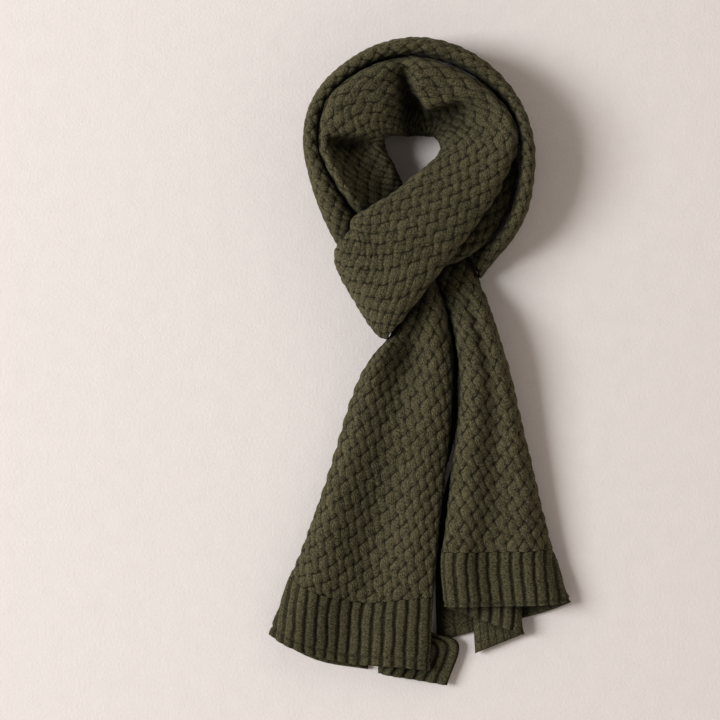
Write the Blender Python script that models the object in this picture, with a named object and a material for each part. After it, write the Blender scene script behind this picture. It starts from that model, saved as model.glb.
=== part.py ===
"""Knit scarf, folded lengthwise, doubled and looped with a slip knot, laid flat on a surface.

Every stretch of cloth is a wall 3 mm thick. A short table gives its stations in millimetres, in the
order in which the cloth runs, and a smooth curve joins them along and across. The outer side carries
the knit's relief: basket-weave cells on the strip, and 2x2 ribs on its borders.
Frame: +X right, +Y towards the ring, +Z up. The origin is on the floor, under the middle of the box.
"""

from collections import namedtuple

import bmesh
import bpy
import numpy as np

MM = 0.001
WALL = 3.0  # thickness of the knit
THINNEST = 1.0  # its thickness in the sharpest folds
CLOSING = 0.7  # how much closer the points of its inner side may stand in a fold, as a share
GAP = 0.35  # clearance between pieces that touch
LEFT_SEAM, RIGHT_SEAM = 1.2, 0.6  # clearance along the seams of the rib borders
CELL_ACROSS, CELL_ALONG = 5.7, 7.9  # half the spacing of the woven cells
CELL_RAISE = 1.3
RIB_PITCH = 10.4
RIB_RAISE = 1.5
OLIVE = (0.060, 0.056, 0.032, 1.0)
CREASE_ANGLE = 0.25  # faces that meet at less than this, in radians, look smooth


# ---------------------------------------------------------------- clearing and finishing

for old in list(bpy.data.objects):
    bpy.data.objects.remove(old)
scarf = bpy.data.collections.new("knit_scarf")
bpy.context.scene.collection.children.link(scarf)


def wool(name, shade):
    """A matt wool material, a little lighter or darker for each stretch."""
    material = bpy.data.materials.new(name)
    material.use_nodes = True
    shader = material.node_tree.nodes["Principled BSDF"]
    shader.inputs["Base Color"].default_value = (*[c * shade for c in OLIVE[:3]], 1.0)
    shader.inputs["Roughness"].default_value = 0.95
    shader.inputs["Metallic"].default_value = 0.0
    return material


def add_object(name, points, faces, shade=1.0):
    """A closed mesh as an object of the scarf, its faces turned outwards. Points are in millimetres."""
    mesh = bpy.data.meshes.new(name)
    mesh.from_pydata((np.asarray(points) * MM).tolist(), [], faces)
    work = bmesh.new()
    work.from_mesh(mesh)
    bmesh.ops.recalc_face_normals(work, faces=work.faces)
    work.to_mesh(mesh)
    work.free()
    mesh.set_sharp_from_angle(angle=CREASE_ANGLE)
    piece = bpy.data.objects.new(name, mesh)
    piece.data.materials.append(wool(f"{name}_wool", shade))
    scarf.objects.link(piece)
    return piece


# ---------------------------------------------------------------- curves and surfaces


def smooth(values, knots, at):
    """A curve through values, one for each knot, read at the given places. Its slopes don't overshoot much."""
    values = np.asarray(values, float)
    steps = np.diff(knots).reshape((-1,) + (1,) * (values.ndim - 1))
    rates = np.diff(values, axis=0) / steps
    inner = (rates[:-1] * steps[1:] + rates[1:] * steps[:-1]) / (steps[:-1] + steps[1:])
    slopes = np.concatenate([rates[:1], inner, rates[-1:]])
    at = np.clip(at, knots[0], knots[-1])
    k = np.clip(np.searchsorted(knots, at, side="right") - 1, 0, len(knots) - 2)
    step = steps[k]
    t = ((at - knots[k]) / np.diff(knots)[k]).reshape(step.shape)
    return (
        values[k] * (1 + 2 * t) * (1 - t) ** 2
        + slopes[k] * step * t * (1 - t) ** 2
        + values[k + 1] * t * t * (3 - 2 * t)
        + slopes[k + 1] * step * t * t * (t - 1)
    )


def travelled(points):
    """Distance along a line of points, from its start."""
    return np.concatenate([[0], np.cumsum(np.linalg.norm(np.diff(points, axis=0), axis=1))])


class Stretch:
    """A stretch of cloth through sections: each is a list of points across it, from the free lip,
    over the zero point, from which columns are measured, to the turn and on to the hidden end."""

    SAMPLES = 120

    def __init__(self, sections, zero, turn, columns_from, columns_to, facing, floor=0.0):
        self.sections = np.asarray(sections, float)
        self.zero, self.turn = zero, turn
        self.columns_from, self.columns_to = columns_from, columns_to
        self.facing = facing
        self.floor = floor
        middle = self.sections[:, zero : turn + 1].mean(axis=1)
        self.stations = travelled(middle)
        self.length = self.stations[-1]

    def row(self, along, columns):
        """Points at one distance along the stretch, at distances across it, both in millimetres."""
        controls = smooth(self.sections, self.stations, np.array([along]))[0]
        knots = travelled(controls) ** 0.8 + 1e-3 * np.arange(len(controls))
        samples = np.linspace(knots[0], knots[-1], self.SAMPLES)
        fine = smooth(controls, knots, samples)
        arc = travelled(fine)
        at_zero, at_turn = np.interp(knots[[self.zero, self.turn]], samples, arc)
        width = min(at_turn - at_zero, self.columns_to - 1.0)
        reach = np.interp(
            columns,
            [self.columns_from, 0.0, width, self.columns_to],
            [0.0, at_zero, at_zero + width, arc[-1]],
        )
        points = np.stack([np.interp(reach, arc, fine[:, axis]) for axis in range(3)], axis=1)
        return points

    def points(self, rows, columns):
        found = np.stack([self.row(along, columns) for along in rows])
        found[..., 2] = np.maximum(found[..., 2], self.floor)
        return found

    def with_normals(self, rows, columns, probe=0.6):
        """Points and the directions that face out of the cloth there."""
        rows, columns = np.asarray(rows, float), np.asarray(columns, float)
        low = np.clip(rows - probe, 0, self.length)
        high = np.clip(rows + probe, 0, self.length)
        left = np.clip(columns - probe, self.columns_from, self.columns_to)
        right = np.clip(columns + probe, self.columns_from, self.columns_to)
        along = self.points(high, columns) - self.points(low, columns)
        across = self.points(rows, right) - self.points(rows, left)
        normals = self.facing * np.cross(across, along)
        normals /= np.linalg.norm(normals, axis=2, keepdims=True) + 1e-9
        return self.points(rows, columns), normals


def evenly(start, end, spacing):
    """Places from start to end, near the spacing apart, with an even number of steps."""
    steps = max(2, 2 * round((end - start) / spacing / 2))
    return np.linspace(start, end, steps + 1)


def room(base, normals):
    """How thick the wall may be at each point, so that its inner side doesn't cross itself in a sharp fold."""
    found = np.full(base.shape[:2], WALL)
    for axis in (0, 1):
        step, turn = np.diff(base, axis=axis), np.diff(normals, axis=axis)
        closing = (step * turn).sum(axis=2) / ((step * step).sum(axis=2) + 1e-9)
        limit = CLOSING / np.maximum(closing, 1e-3)
        for part in (slice(None, -1), slice(1, None)):
            view = found[part] if axis == 0 else found[:, part]
            np.minimum(view, limit, out=view)
    return np.maximum(found, THINNEST)


def wall(name, stretch, rows, columns, relief, shade=1.0, thickness=WALL, skip=2):
    """The cloth as a closed wall: relief on its outer side, and on its plain inner side only one point in
    two, or whatever skip says."""
    base, normals = stretch.with_normals(rows, columns)
    across = np.linalg.norm(np.gradient(base, axis=1), axis=2) / np.gradient(columns)
    along = np.linalg.norm(np.gradient(base, axis=0), axis=2) / np.gradient(rows)[:, None]
    gathered = np.clip(np.minimum(across, along) * 2 - 0.6, 0, 1)
    facing_up = np.clip(normals[..., 2] * 4 + 1.6, 0, 1) * (base[..., 2] > 1.0)
    raised = relief(rows, columns) * facing_up * gathered
    outer = base + normals * raised[..., None]
    outer[..., 2] = np.maximum(outer[..., 2], 0.0)
    inner, inward = base[::skip, ::skip], -normals[::skip, ::skip]
    flat = inner[..., 2] < 0.05
    thin = np.minimum(thickness * (0.5 + 0.5 * gathered[::skip, ::skip]), room(inner, -inward))
    inner = inner + inward * thin[..., None]
    inner[..., 2] = np.where(flat, thin, np.maximum(inner[..., 2], 0.0))
    down, wide = outer.shape[:2]
    less_down, less_wide = inner.shape[:2]
    out = np.arange(down * wide).reshape(down, wide)
    inn = out.size + np.arange(less_down * less_wide).reshape(less_down, less_wide)
    faces = grid_faces(out) + grid_faces(inn[:, ::-1])
    faces += rim_faces(out[0], inn[0])
    faces += rim_faces(out[-1, ::-1], inn[-1, ::-1])
    faces += rim_faces(out[::-1, 0], inn[::-1, 0])
    faces += rim_faces(out[:, -1], inn[:, -1])
    points = np.concatenate([outer.reshape(-1, 3), inner.reshape(-1, 3)])
    return add_object(name, points, faces, shade)


def grid_faces(index):
    return [
        [int(index[r, c]), int(index[r + 1, c]), int(index[r + 1, c + 1]), int(index[r, c + 1])]
        for r in range(index.shape[0] - 1)
        for c in range(index.shape[1] - 1)
    ]


def rim_faces(out, inn):
    """The cut edge: one face for each step of the inner side, which takes one or more steps of the outer."""
    skip = (len(out) - 1) // (len(inn) - 1)
    return [
        [int(i) for i in out[skip * k : skip * (k + 1) + 1]] + [int(inn[k + 1]), int(inn[k])]
        for k in range(len(inn) - 1)
    ]


def woven(rows, columns):
    """Height of the basket weave: a cell stands at every second crossing of a grid of half cells."""
    across = np.cos(np.pi * np.asarray(columns) / CELL_ACROSS)
    along = np.cos(np.pi * (np.asarray(rows) - rows[0]) / (rows[1] - rows[0]))
    return CELL_RAISE * 0.5 * (1 + along[:, None] * across[None, :])


def ribbed(rows, columns):
    """Height of the 2x2 rib: two thirds of each pitch stand up, and one third is a groove."""
    phase = np.mod(np.asarray(columns) / RIB_PITCH, 1.0)
    ridge = np.clip(np.abs(phase - 0.5) * 6 - 0.95, 0, 1)
    return RIB_RAISE * np.repeat(ridge[None, :], len(rows), axis=0)


# ---------------------------------------------------------------- the two tails and their rib borders

Tail = namedtuple(
    "Tail", "fold_x fold_y lip_x lip_y bow skew fold_top hollow_at hollow ridge lip_top lip_low base reach back"
)

LEFT_TAIL = (
    # fold side   lip side      bow  skew fold_top hollow: at, z ridge lip_top lip_low base reach back
    Tail(-20.0, 57.0, -1.0, 86.1, 0.0, 0.0, 19.0, 0.55, 20.0, 21.0, 19.5, 6.0, 4.8, 10, 0),
    Tail(-24.5, 38.5, 11.0, 71.0, 0.0, 0.0, 22.0, 0.55, 23.0, 25.0, 23.5, 6.0, 4.8, 4, 0),
    Tail(-25.2, 28.2, 16.0, 62.0, 0.0, 0.0, 25.0, 0.55, 26.0, 28.5, 27.0, 6.0, 4.8, 2, 0),
    Tail(-41.5, 7.0, 24.0, 42.0, 0.0, 0.0, 30.0, 0.50, 21.5, 30.0, 27.0, 6.5, 1.5, -2, 0),
    Tail(-50.5, -6.5, 29.0, 18.0, 0.0, 0.0, 26.0, 0.53, 14.5, 25.5, 23.0, 5.0, 0.0, -5, 0),
    Tail(-62.0, -33.5, 29.7, -20.0, 2.0, 0.0, 21.0, 0.52, 15.0, 25.0, 22.5, 5.0, 0.0, -5, 0),
    Tail(-73.0, -69.5, 27.4, -60.5, 4.0, 0.0, 19.5, 0.58, 14.5, 24.5, 21.5, 5.0, 0.0, -6, 0),
    Tail(-84.0, -105.5, 23.0, -98.0, 6.0, 1.0, 19.5, 0.56, 13.5, 24.0, 20.5, 5.0, 0.0, 0, 0),
    Tail(-96.5, -141.5, 18.5, -137.0, 10.0, 1.0, 20.0, 0.50, 12.5, 22.5, 19.5, 7.0, 0.0, 20, 0),
    Tail(-110.0, -177.5, 14.8, -180.0, 13.0, -2.0, 19.0, 0.47, 12.0, 20.5, 18.5, 9.4, 0.0, 48, 0),
    Tail(-117.0, -193.0, 12.0, -211.0, 15.0, -4.0, 17.0, 0.47, 12.5, 19.0, 17.5, 9.6, 0.0, 54, 0),
    Tail(-136.4, -245.5, 8.8, -277.5, 10.0, -3.5, 14.5, 0.50, 12.5, 17.0, 16.8, 9.0, 0.0, 54, 6),
)
RIGHT_TAIL = (
    Tail(43.0, 101.0, 12.0, 86.0, 0.0, 0.0, 13.0, 0.50, 13.0, 13.5, 13.0, 4.6, 0.0, 8, 0),
    Tail(53.6, 74.0, 17.5, 68.0, 0.0, 0.0, 19.5, 0.50, 19.5, 19.5, 18.0, 5.5, 0.0, 10, 0),
    Tail(62.0, 51.5, 24.8, 49.5, 0.0, 0.0, 28.0, 0.54, 24.0, 25.5, 23.0, 5.5, 0.0, 10, 0),
    Tail(72.0, 20.7, 32.5, 20.0, 0.0, 0.0, 31.0, 0.58, 26.8, 30.5, 27.5, 5.0, 0.0, 10, 0),
    Tail(82.8, -15.3, 36.5, -15.3, 0.0, 0.0, 28.5, 0.58, 25.5, 30.5, 28.0, 5.0, 0.0, 10, 0),
    Tail(91.0, -51.5, 35.0, -51.5, 0.0, 0.0, 25.5, 0.56, 21.0, 29.0, 26.5, 5.0, 0.0, 10, 0),
    Tail(100.0, -87.5, 30.3, -87.5, 0.0, 0.0, 22.5, 0.54, 19.0, 27.0, 24.5, 5.5, 0.0, 2, 0),
    Tail(108.5, -123.5, 26.2, -123.5, 0.0, 0.0, 20.0, 0.50, 17.0, 25.0, 22.5, 7.5, 0.0, -5, 0),
    Tail(117.5, -158.5, 21.5, -160.5, 1.0, 0.0, 17.5, 0.38, 16.8, 23.0, 21.5, 11.8, 0.0, -4, 0),
    Tail(120.5, -168.5, 19.8, -170.5, 1.0, 0.0, 16.5, 0.35, 16.8, 22.5, 21.0, 12.0, 0.0, -4, 0),
    Tail(137.0, -217.0, 22.0, -219.5, 1.0, 0.0, 15.0, 0.36, 17.6, 22.0, 21.0, 12.0, 0.0, -7, 34),
)
LEFT_BORDER, RIGHT_BORDER = 10, 9  # the row of each table where the rib border starts
LIP_TURN = 7.0
FOLD_TURN = 9.0
RIDGE_AT = 0.19  # place of the ridge along the lip, as a share of the tail's width


def tail_sections(table):
    sections = []
    for row in table:
        lip = np.array([row.lip_x, row.lip_y])
        side = np.array([row.fold_x, row.fold_y]) - lip
        width = np.linalg.norm(side)
        side = side / width
        down = np.array([side[1], -side[0]])
        down = down if down[1] < 0 else -down

        def at(across, height, drop=0.0):
            share = across / width
            sag = row.bow * 4 * share * (1 - share) + row.skew * np.sin(2 * np.pi * share) + drop
            return (*(lip + side * across + down * sag), height)

        rise = row.lip_top - row.lip_low
        sections.append(
            (
                at(2.0, row.lip_low),
                at(0.0, row.lip_low + 0.40 * rise),
                at(2.0, row.lip_low + 0.82 * rise),
                at(LIP_TURN, row.lip_top),
                at(max(RIDGE_AT * width, 2.0 * LIP_TURN), row.ridge),
                at(row.hollow_at * width, row.hollow),
                at(width - FOLD_TURN, row.fold_top),
                at(width, row.base + 0.45 * (row.fold_top - row.base)),
                at(width - 0.85 * FOLD_TURN, row.base + 0.06 * (row.fold_top - row.base), 0.1 * row.back),
                at(0.5 * (width + row.reach), row.base, 0.5 * row.back),
                at(row.reach, row.base, row.back),
            )
        )
    return sections


TAIL_ZERO, TAIL_TURN = 2, 7


def tail(side, table, border, gap, width, facing, body_shade):
    """One tail: its basket-weave body as far as the border, then the rib border to the hem."""
    stretch = Stretch(tail_sections(table), TAIL_ZERO, TAIL_TURN, -18.0, width + 110.0, facing)
    seam = stretch.stations[border]
    top_columns = CELL_ACROSS * np.arange(0, 2 * round(width / CELL_ACROSS / 2) + 1)
    hidden = evenly(top_columns[-1], width + 110.0, 17.0)[1:]
    columns = np.concatenate([[-18.0, -6.0], top_columns, hidden])
    rows = evenly(0.0, seam - gap / 2, CELL_ALONG)
    wall(f"tail_{side}", stretch, rows, columns, woven, body_shade)
    rib_columns = RIB_PITCH / 3 * np.arange(-1, 6 * round((width + 12) / RIB_PITCH / 2) + 1)
    rest = evenly(rib_columns[-1], width + 110.0, 12.0)[1:]
    rib_columns = np.concatenate([[-18.0, -9.0], rib_columns, rest])
    if len(rib_columns) % 2 == 0:
        rib_columns = np.delete(rib_columns, 1)
    rib_rows = evenly(seam + gap / 2, stretch.length, 14.0)
    wall(f"rib_{side}", stretch, rib_rows, rib_columns, ribbed, body_shade * 1.04)
    return stretch


def filling(name, stretch, rows, columns, foot_at, foot_heights, clear=4.0 * GAP):
    """The layers hidden under a stretch, as one solid: its top lies just inside the cloth. Its foot has
    the given heights at the given rows."""
    base, normals = stretch.with_normals(rows, columns)
    top = base - normals * (WALL + clear)
    level = np.interp(rows, foot_at, foot_heights)[:, None]
    top[..., 2] = np.maximum(top[..., 2], level + 2.0)
    down, wide = top.shape[:2]
    foot = top.copy()
    foot[..., 2] = level
    upper = np.arange(down * wide).reshape(down, wide)
    lower = upper + upper.size
    faces = grid_faces(upper) + grid_faces(lower[:, ::-1])
    for edge_up, edge_low in (
        (upper[0], lower[0]),
        (upper[-1, ::-1], lower[-1, ::-1]),
        (upper[::-1, 0], lower[::-1, 0]),
        (upper[:, -1], lower[:, -1]),
    ):
        for k in range(len(edge_up) - 1):
            faces.append([int(edge_up[k]), int(edge_up[k + 1]), int(edge_low[k + 1]), int(edge_low[k])])
    return add_object(name, np.concatenate([top.reshape(-1, 3), foot.reshape(-1, 3)]), faces, 0.8)


left = tail("left", LEFT_TAIL, LEFT_BORDER, LEFT_SEAM, 146.0, 1, 1.0)
right = tail("right", RIGHT_TAIL, RIGHT_BORDER, RIGHT_SEAM, 112.0, -1, 0.96)
LIFTED, LAID = 4.8 + WALL + GAP, WALL + GAP  # the hidden layers' foot at the roots, and further on
filling("layers_left", left, evenly(42.0, 258.0, 14.0), evenly(13.0, 32.0, 9.0), (40.0, 75.0), (LIFTED, LAID))
filling("layers_right", right, evenly(66.0, 225.0, 10.0), evenly(11.5, 20.0, 5.0), (0.0, 1.0), (LAID, LAID))

# ---------------------------------------------------------------- folded leaves under the hems

Leaf = namedtuple("Leaf", "fold_x fold_y upper_x upper_y lower_x lower_y base height upper_z")

LEFT_LEAF = (
    # fold side     upper layer's end lower layer's end base height upper_z
    Leaf(-31.0, -206.0, 9.0, -213.0, 7.0, -213.0, 0.0, 9.2, 6.4),
    Leaf(-34.5, -240.0, 9.0, -243.0, 7.0, -243.0, 0.0, 9.0, 6.2),
    Leaf(-36.5, -262.0, 34.5, -252.5, 15.0, -266.0, 0.0, 8.8, 6.2),
    Leaf(-37.2, -281.5, 25.0, -292.5, 20.0, -290.0, 0.0, 8.6, 6.1),
)
RIGHT_PLEAT = (
    Leaf(88.0, -176.0, 24.5, -176.0, 46.0, -176.0, 3.4, 7.2, 9.1),
    Leaf(92.0, -219.0, 23.5, -219.5, 48.5, -228.0, 3.4, 7.2, 9.1),
    Leaf(94.5, -246.0, 24.5, -222.0, 50.5, -263.5, 3.4, 7.2, 9.1),
)


def leaf_sections(table):
    sections = []
    for row in table:
        fold = np.array([row.fold_x, row.fold_y])
        upper = np.array([row.upper_x, row.upper_y]) - fold
        lower = np.array([row.lower_x, row.lower_y]) - fold

        def on(layer, share, height):
            return (*(fold + layer * share), height)

        top = row.base + row.height
        near = 5.0 / np.linalg.norm(upper)
        sections.append(
            (
                on(upper, 1.0, row.upper_z),
                on(upper, 0.5, 0.5 * (top + row.upper_z)),
                on(upper, near, top),
                on(upper, 0.0, row.base + 0.5 * row.height),
                on(lower, near, row.base),
                on(lower, 0.5, row.base),
                on(lower, 1.0, row.base),
            )
        )
    return sections


def leaf(name, table, width, facing):
    """Two layers of rib border joined by a fold. Columns run from the upper layer's free edge."""
    stretch = Stretch(leaf_sections(table), 0, 3, -1.0, 2 * width, facing, floor=table[0].base)
    columns = RIB_PITCH / 3 * np.arange(0, 6 * round(width / RIB_PITCH / 2) + 1)
    columns = np.concatenate([columns, evenly(columns[-1], 2 * width, 14.0)[1:]])
    columns[0] = -1.0
    rows = evenly(0.0, stretch.length, 14.0)
    return wall(name, stretch, rows, columns, ribbed, 0.9, LEAF_WALL)


LEAF_WALL = 2.0  # the border is thinner where it is folded flat
leaf("rib_left_leaf", LEFT_LEAF, 64.0, 1)
leaf("rib_right_pleat", RIGHT_PLEAT, 72.0, -1)

# ---------------------------------------------------------------- the neck ring's outer stretch

Arch = namedtuple("Arch", "outer_x outer_y crease_x crease_y top")

OUTER_LOOP = (
    # outer side     crease side      top
    Arch(-72.0, 105.0, -48.0, 122.0, 24.0),
    Arch(-76.5, 112.5, -52.2, 128.7, 27.0),
    Arch(-84.0, 127.0, -61.2, 137.7, 33.0),
    Arch(-92.7, 148.5, -73.8, 157.5, 40.0),
    Arch(-99.0, 169.0, -85.0, 176.0, 43.0),
    Arch(-104.0, 197.0, -91.1, 199.0, 45.0),
    Arch(-99.5, 227.0, -87.3, 225.0, 46.0),
    Arch(-88.0, 248.0, -75.6, 243.9, 46.0),
    Arch(-70.0, 265.5, -58.5, 258.5, 46.0),
    Arch(-40.5, 283.0, -34.5, 270.5, 46.0),
    Arch(-6.3, 290.4, -7.2, 275.4, 46.0),
    Arch(30.3, 284.0, 24.3, 268.7, 46.0),
    Arch(69.5, 259.0, 57.6, 250.2, 45.0),
    Arch(91.0, 229.0, 79.0, 228.5, 45.0),
    Arch(101.5, 194.0, 89.0, 198.0, 44.0),
    Arch(100.5, 160.5, 89.2, 168.0, 42.0),
    Arch(95.5, 136.0, 83.9, 141.5, 38.0),
    Arch(82.0, 111.0, 73.0, 119.0, 33.0),
    Arch(67.0, 93.0, 58.8, 106.0, 24.0),
    Arch(54.6, 77.4, 47.2, 99.6, 16.0),
)


def arch_sections(table):
    sections = []
    for row in table:
        crease = np.array([row.crease_x, row.crease_y])
        side = np.array([row.outer_x, row.outer_y]) - crease
        width = np.linalg.norm(side)
        side = side / width
        crease = crease + side * GAP

        def at(across, height):
            return (*(crease + side * across), height)

        sections.append(
            (
                at(0.8, 0.45 * row.top),
                at(0.0, 0.78 * row.top),
                at(0.24 * width, row.top - 0.8),
                at(0.58 * width, row.top),
                at(0.88 * width, 0.84 * row.top),
                at(width, 0.48 * row.top),
                at(width - 0.6, 0.14 * row.top),
                at(width - 4.0, 0.0),
                at(width - 11.0, 0.0),
            )
        )
    return sections


outer_loop = Stretch(arch_sections(OUTER_LOOP), 1, 7, -20.0, 78.0, -1)
outer_rows = evenly(0.0, outer_loop.length, CELL_ALONG)
outer_columns = np.concatenate([[-20.0], CELL_ACROSS * np.arange(0, 13), [78.0]])
wall("loop_outer", outer_loop, outer_rows, outer_columns, woven)

# ---------------------------------------------------------------- the inner stretch, which becomes the front band

Loop = namedtuple("Loop", "fold_x fold_y edge_x edge_y top shoulder shoulder_z foot foot_z edge_top base lip")

FRONT_LOOP = (
    # outer fold    hole edge     top   shoulder    foot        edge base lip
    Loop(-37.0, 115.5, -4.5, 142.0, 25.0, 0.50, 23.0, 0.68, 19.8, 18.0, 3.4, 0.50),
    Loop(-48.6, 126.0, -10.8, 154.0, 28.0, 0.50, 24.5, 0.70, 19.0, 15.0, 0.0, 0.45),
    Loop(-58.6, 137.6, -16.2, 162.0, 36.0, 0.36, 28.0, 0.68, 21.0, 19.0, 0.0, 0.45),
    Loop(-72.2, 155.5, -20.7, 172.0, 44.0, 0.30, 33.0, 0.66, 23.0, 22.0, 0.0, 0.45),
    Loop(-83.6, 175.5, -26.0, 182.7, 48.0, 0.26, 35.0, 0.62, 25.0, 24.0, 0.0, 0.45),
    Loop(-89.2, 189.0, -30.5, 190.0, 49.0, 0.24, 34.0, 0.58, 25.0, 25.0, 0.0, 0.45),
    Loop(-90.2, 199.0, -32.0, 197.5, 49.0, 0.22, 33.0, 0.56, 24.0, 25.0, 0.0, 0.45),
    Loop(-89.6, 206.5, -30.6, 203.5, 50.0, 0.50, 46.0, 0.82, 40.0, 35.0, 0.0, 0.45),
    Loop(-88.4, 215.0, -27.0, 205.0, 51.0, 0.50, 49.5, 0.82, 43.0, 36.0, 0.0, 0.45),
    Loop(-84.4, 230.4, -22.0, 205.0, 51.5, 0.50, 50.0, 0.82, 42.0, 34.0, 0.0, 0.45),
    Loop(-73.8, 244.0, -17.5, 205.0, 51.0, 0.50, 50.0, 0.82, 40.0, 31.0, 0.0, 0.45),
    Loop(-56.7, 256.8, -13.5, 205.0, 50.5, 0.50, 49.0, 0.80, 35.0, 25.0, 0.0, 0.45),
    Loop(-36.0, 266.5, -10.0, 205.2, 50.0, 0.50, 43.0, 0.74, 24.0, 14.0, 0.0, 0.45),
    Loop(-16.0, 271.5, -7.0, 205.4, 45.0, 0.26, 34.0, 0.55, 15.0, 12.0, 0.0, 0.45),
    Loop(-5.0, 271.8, -1.0, 205.6, 49.5, 0.44, 47.5, 0.56, 16.0, 12.0, 0.0, 0.45),
    Loop(9.0, 269.0, 3.0, 205.6, 50.5, 0.60, 48.0, 0.70, 16.0, 12.0, 0.0, 0.45),
    Loop(30.5, 261.0, 6.0, 205.4, 50.5, 0.52, 47.5, 0.63, 16.0, 12.0, 0.0, 0.45),
    Loop(51.5, 249.0, 9.0, 205.2, 50.0, 0.30, 47.0, 0.45, 22.0, 12.0, 0.0, 0.45),
    Loop(69.5, 234.0, 12.6, 204.8, 49.0, 0.20, 44.0, 0.55, 27.0, 16.0, 0.0, 0.45),
    Loop(81.0, 219.3, 15.8, 201.6, 48.0, 0.26, 43.0, 0.62, 33.0, 25.0, 0.0, 0.45),
    Loop(86.5, 202.5, 18.0, 197.1, 48.0, 0.40, 43.5, 0.72, 37.0, 30.0, 0.0, 0.45),
    Loop(85.8, 191.7, 18.9, 192.6, 47.0, 0.55, 44.0, 0.80, 38.5, 34.0, 0.0, 0.50),
    Loop(81.0, 178.2, 15.3, 185.4, 46.5, 0.60, 44.5, 0.80, 41.0, 36.0, 8.0, 0.65),
    Loop(74.7, 164.7, 6.3, 176.4, 47.0, 0.60, 46.0, 0.78, 43.5, 39.0, 20.0, 0.85),
    Loop(67.5, 149.4, -6.3, 166.5, 48.0, 0.60, 48.5, 0.76, 46.0, 42.5, 31.0, 0.94),
    Loop(54.0, 130.5, -21.6, 153.0, 49.5, 0.60, 51.0, 0.76, 48.5, 45.0, 33.0, 0.94),
    Loop(37.5, 108.0, -40.5, 141.3, 50.5, 0.60, 52.5, 0.76, 50.0, 46.0, 33.0, 0.94),
    Loop(19.5, 85.0, -59.4, 129.6, 50.0, 0.60, 51.5, 0.76, 49.0, 45.5, 33.0, 0.94),
)


def loop_sections(table):
    sections = []
    for row in table:
        fold = np.array([row.fold_x, row.fold_y])
        across = np.array([row.edge_x, row.edge_y]) - fold

        def at(share, height):
            return (*(fold + across * share), height)

        sections.append(
            (
                at(0.05, row.top - 16.0),
                at(0.0, row.top - 7.0),
                at(0.10, row.top - 0.5),
                at(0.5 * row.shoulder, 0.5 * (row.top + row.shoulder_z) + 1.0),
                at(row.shoulder, row.shoulder_z),
                at(row.foot, row.foot_z),
                at(0.95, row.edge_top),
                at(1.0, 0.5 * (row.edge_top + row.base)),
                at(0.25 * row.lip + 0.75, row.base),
                at(row.lip, row.base),
            )
        )
    return sections


NOSE_START, NOSE_END = np.array([-34.0, 18.5]), np.array([-80.0, 98.0])  # the band's fold at its left end
NOSE_DEEP, NOSE_HALF = 22.0, 23.0  # how far the fold curls in, and half its height
NOSE_SLANT = 7.5  # the band meets its fold at a slant
NOSE_ANGLES = (0, 30, 60, 90, 120, 150, 175)


def nose_sections():
    """The band's rounded left end, where the cloth rolls over and back under the knot."""
    line = NOSE_END - NOSE_START
    along = -line / np.linalg.norm(line)
    outward = np.array([along[1], -along[0]])
    outward = outward if outward[0] < 0 else -outward
    profile = (  # share across, height out of the roll, share across where it lies flat
        (0.07, -9.0, 0.05),
        (0.00, -5.5, 0.10),
        (0.07, -0.5, 0.18),
        (0.28, 2.5, 0.32),
        (0.50, 3.0, 0.50),
        (0.72, 3.0, 0.68),
        (0.93, -0.5, 0.81),
        (1.00, -5.5, 0.88),
        (0.97, -8.0, 0.92),
        (0.93, -9.5, 0.96),
    )
    sections = []
    for degrees in NOSE_ANGLES:
        angle = np.radians(degrees)
        fade = 1.0 if degrees < 100 else max(0.0, (175 - degrees) / 75)
        slant = NOSE_SLANT * min(degrees - 90, 0) / 90
        section = []
        for share, height, flat_share in profile:
            height = height * fade
            plan = NOSE_START + line * (share * fade + flat_share * (1 - fade)) + along * slant
            plan = plan + outward * (NOSE_DEEP * (np.sin(angle) - 1) + height * np.sin(angle))
            section.append((*plan, NOSE_HALF * (1 + np.cos(angle)) + height * np.cos(angle)))
        sections.append(section)
    tail_end = [(x - 14.0 * outward[0], y - 14.0 * outward[1], z) for x, y, z in sections[-1]]
    return sections + [tail_end]


front_loop = Stretch(loop_sections(FRONT_LOOP) + nose_sections(), 1, 7, -16.0, 130.0, 1)
front_rows = evenly(0.0, front_loop.length, CELL_ALONG)
front_columns = np.concatenate([[-16.0], CELL_ACROSS * np.arange(0, 18), [109.0, 119.0, 130.0]])
front_columns = np.delete(front_columns, -2) if len(front_columns) % 2 == 0 else front_columns
wall("loop_front", front_loop, front_rows, front_columns, woven, 1.02, skip=1)

# ---------------------------------------------------------------- what lies under the band

Strip = namedtuple("Strip", "edge_x edge_y inner_x inner_y top")

UNDER_BAND = (
    # outer fold   end under band  top
    Strip(87.0, 181.0, 77.0, 179.0, 28.0),
    Strip(86.2, 165.0, 68.0, 165.0, 28.5),
    Strip(81.5, 142.5, 62.0, 147.0, 27.5),
    Strip(70.0, 121.5, 52.0, 130.0, 26.0),
    Strip(54.0, 103.5, 40.0, 114.0, 25.0),
    Strip(36.0, 92.7, 26.0, 103.0, 24.4),
    Strip(21.0, 86.5, 15.0, 95.0, 23.7),
)


def strip_sections(table):
    sections = []
    for row in table:
        edge = np.array([row.edge_x, row.edge_y])
        across = np.array([row.inner_x, row.inner_y]) - edge

        def at(share, height):
            return (*(edge + across * share), height)

        sections.append(
            (
                at(1.0, row.top + 0.5),
                at(0.5, row.top),
                at(0.16, row.top - 0.6),
                at(0.0, row.top - 4.5),
                at(0.16, row.top - 8.0),
                at(0.45, row.top - 8.6),
            )
        )
    return sections


under_band = Stretch(strip_sections(UNDER_BAND), 0, 3, -1.0, 44.0, -1)
strip_rows = evenly(0.0, under_band.length, CELL_ALONG)
wall("band_under", under_band, strip_rows, np.array([-1.0, 5.7, 11.4, 17.1, 22.8, 33.0, 44.0]), woven, 0.9, skip=1)

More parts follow.
